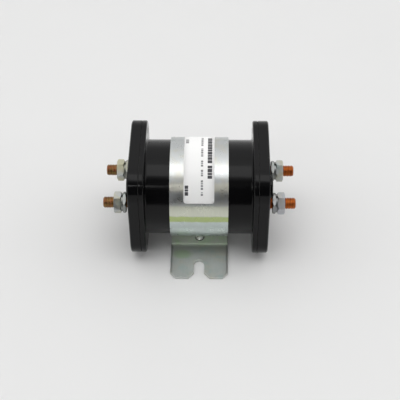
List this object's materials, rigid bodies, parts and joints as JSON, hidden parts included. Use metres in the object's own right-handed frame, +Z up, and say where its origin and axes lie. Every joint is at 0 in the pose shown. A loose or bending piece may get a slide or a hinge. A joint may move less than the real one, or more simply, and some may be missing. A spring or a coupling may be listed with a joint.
{
  "type": "solenoid relay",
  "caption": "Sealed power solenoid relay with a black barrel, square end caps, copper stud terminals, and a plated strap on a slotted mounting plate.",
  "frame": {"origin": "middle of the base plate's underside, under the middle of the barrel", "axes": "+X along the solenoid towards the contact studs, +Z up from the mounting surface, -Y towards the picture's viewer"},
  "size_m": [0.127, 0.0984, 0.074],
  "materials": {
    "phenolic": "glossy moulded black",
    "zinc_sheet": "zinc plated, clear passivated",
    "zinc_plate": "zinc plated, pale yellow and green tints",
    "copper": "drawn copper, slightly darkened",
    "label_film": "white film with grey marks",
    "gasket_board": "dark fibre board",
    "magnet_steel": "turned mild steel",
    "spring_steel": "drawn spring wire",
    "brass": "drawn brass",
    "enamelled_wire": "enamelled copper wire",
    "bobbin_nylon": "natural nylon",
    "tape": "yellow film tape",
    "sleeving": "red sleeving",
    "fibre_board": "red-brown vulcanised fibre",
    "rubber": "black rubber"
  },
  "bodies": {
    "root": {"housing": "phenolic", "left_cap": "phenolic", "right_cap": "phenolic", "left_gasket": "gasket_board", "right_gasket": "gasket_board", "cap_screws": "zinc_plate", "coil_studs": "copper", "contact_studs": "copper", "base_nuts": "zinc_plate", "lock_washers": "zinc_plate", "terminal_nuts": "zinc_plate", "strap": "zinc_sheet", "base_plate": "zinc_sheet", "strap_screws": "zinc_plate", "label": "label_film", "magnet_frame": "magnet_steel", "left_pole_plate": "magnet_steel", "right_pole_plate": "magnet_steel", "fixed_core": "magnet_steel", "guide_tube": "brass", "bumper": "rubber", "bobbin": "bobbin_nylon", "coil_winding": "enamelled_wire", "coil_tape": "tape", "coil_leads": "copper", "lead_sleeves": "sleeving", "left_insulator": "fibre_board", "right_insulator": "fibre_board", "return_spring": "spring_steel"},
    "armature": {"plunger": "magnet_steel", "push_rod": "zinc_plate", "rod_clips": "spring_steel", "spring_washer": "zinc_plate", "spring_seat": "zinc_plate", "contact_spring": "spring_steel"},
    "bridge": {"contact_bridge": "copper", "bridge_bush": "fibre_board", "bridge_washer": "fibre_board"}
  },
  "joints": [
    {"name": "armature_travel", "type": "slide", "parent": "root", "child": "armature", "axis": [1, 0, 0], "range_m": [0, 0.00245], "stiffness_N_per_m": 3900, "springref_m": -0.003, "deforming": ["return_spring"]},
    {"name": "bridge_yield", "type": "slide", "parent": "armature", "child": "bridge", "axis": [1, 0, 0], "range_m": [-0.0008, 0], "stiffness_N_per_m": 5100, "springref_m": 0.002, "deforming": ["contact_spring"]}
  ]
}
